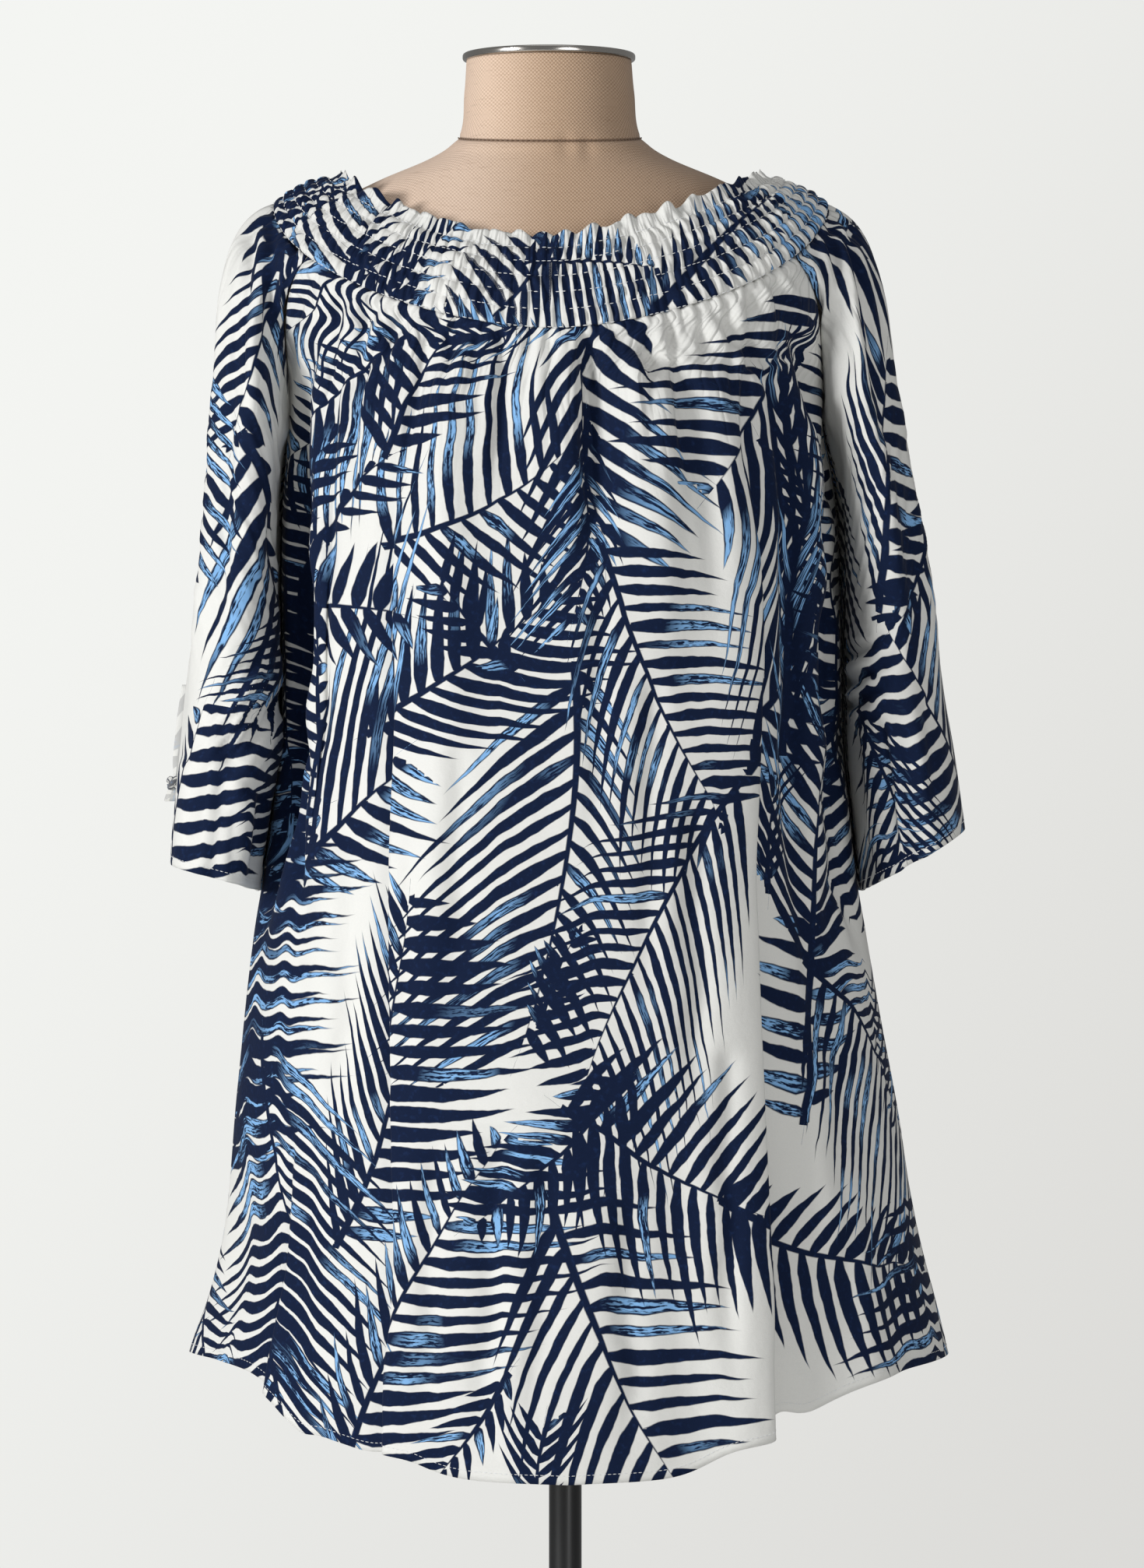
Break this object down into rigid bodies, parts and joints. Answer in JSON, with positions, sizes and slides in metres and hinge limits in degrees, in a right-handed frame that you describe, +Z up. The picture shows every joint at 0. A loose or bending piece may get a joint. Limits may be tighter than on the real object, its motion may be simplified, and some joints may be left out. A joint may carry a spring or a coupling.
{
  "type": "tunic top on dress form",
  "caption": "Loose A-line tunic top with a smocked neckband and three-quarter sleeves, worn by a limbless dress form on a pole with a round base.",
  "frame": {"origin": "centre of the base's underside, on the floor under the pole's axis", "axes": "+Z up along the pole; the garment's back faces -Y and its front +Y; +X is the wearer's right-hand side, on the right when seen from behind"},
  "size_m": [0.5225, 0.3858, 1.4943],
  "materials": {
    "printed_cloth": "matt plain-weave viscose, navy and light blue palm fronds on off-white",
    "linen": "coarse natural linen",
    "polished_steel": "polished",
    "black_paint": "gloss black"
  },
  "bodies": {
    "root": {"back_panel": "printed_cloth", "front_panel": "printed_cloth", "sleeve_right": "printed_cloth", "sleeve_left": "printed_cloth", "smocked_neckband": "printed_cloth", "tie_left": "printed_cloth", "tie_right": "printed_cloth", "dress_form": "linen", "neck_plate": "polished_steel", "pole": "black_paint", "base": "black_paint"}
  },
  "joints": []
}
